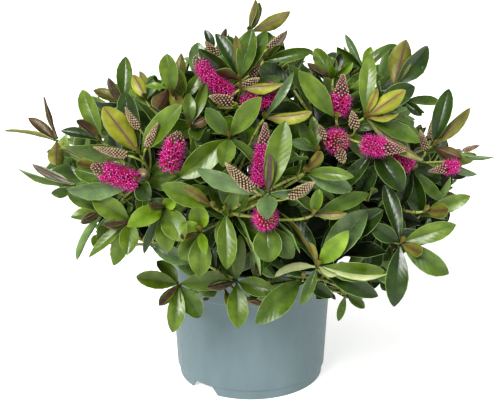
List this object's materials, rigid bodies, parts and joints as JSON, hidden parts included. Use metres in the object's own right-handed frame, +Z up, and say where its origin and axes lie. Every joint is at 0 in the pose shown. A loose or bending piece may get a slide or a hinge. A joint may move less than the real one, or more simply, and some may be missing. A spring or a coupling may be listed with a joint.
{
  "type": "potted hebe shrub",
  "caption": "Flowering hebe shrub with glossy paired leaves and short magenta flower spikes, growing in a round plastic nursery pot.",
  "frame": {"origin": "centre of the pot's flat underside", "axes": "+Z up along the pot's axis, -Y to the front of the plant, +X to its right"},
  "size_m": [0.562, 0.4918, 0.4264],
  "materials": {
    "pot_plastic": "matt blue-grey moulded plastic",
    "compost": "dark crumbly composted bark and peat",
    "bark": "fissured grey-brown bark",
    "green_bark": "smooth green to brown young bark with leaf scars",
    "foliage": "glossy waxy green leaves with a pale margin",
    "blossom": "soft magenta florets",
    "flower_buds": "tan buds over dark purple stalks"
  },
  "bodies": {
    "root": {"pot": "pot_plastic", "compost": "compost", "trunk": "bark", "bough_low_1": "green_bark", "bough_low_2": "green_bark", "bough_low_3": "green_bark", "bough_low_4": "green_bark", "bough_low_5": "green_bark", "bough_low_6": "green_bark", "bough_low_7": "green_bark", "bough_low_8": "green_bark", "bough_middle_1": "green_bark", "bough_middle_2": "green_bark", "bough_middle_3": "green_bark", "bough_middle_4": "green_bark", "bough_middle_5": "green_bark", "bough_middle_6": "green_bark", "bough_middle_7": "green_bark", "bough_middle_8": "green_bark", "bough_high_1": "green_bark", "bough_high_2": "green_bark", "bough_high_3": "green_bark", "bough_high_4": "green_bark", "bough_high_5": "green_bark", "bough_top": "green_bark", "foliage_low_1": "foliage", "foliage_low_2": "foliage", "foliage_low_3": "foliage", "foliage_low_4": "foliage", "foliage_low_5": "foliage", "foliage_low_6": "foliage", "foliage_low_7": "foliage", "foliage_low_8": "foliage", "foliage_middle_1": "foliage", "foliage_middle_2": "foliage", "foliage_middle_3": "foliage", "foliage_middle_4": "foliage", "foliage_middle_5": "foliage", "foliage_middle_6": "foliage", "foliage_middle_7": "foliage", "foliage_middle_8": "foliage", "foliage_high_1": "foliage", "foliage_high_2": "foliage", "foliage_high_3": "foliage", "foliage_high_4": "foliage", "foliage_high_5": "foliage", "foliage_top": "foliage"}
  },
  "joints": []
}
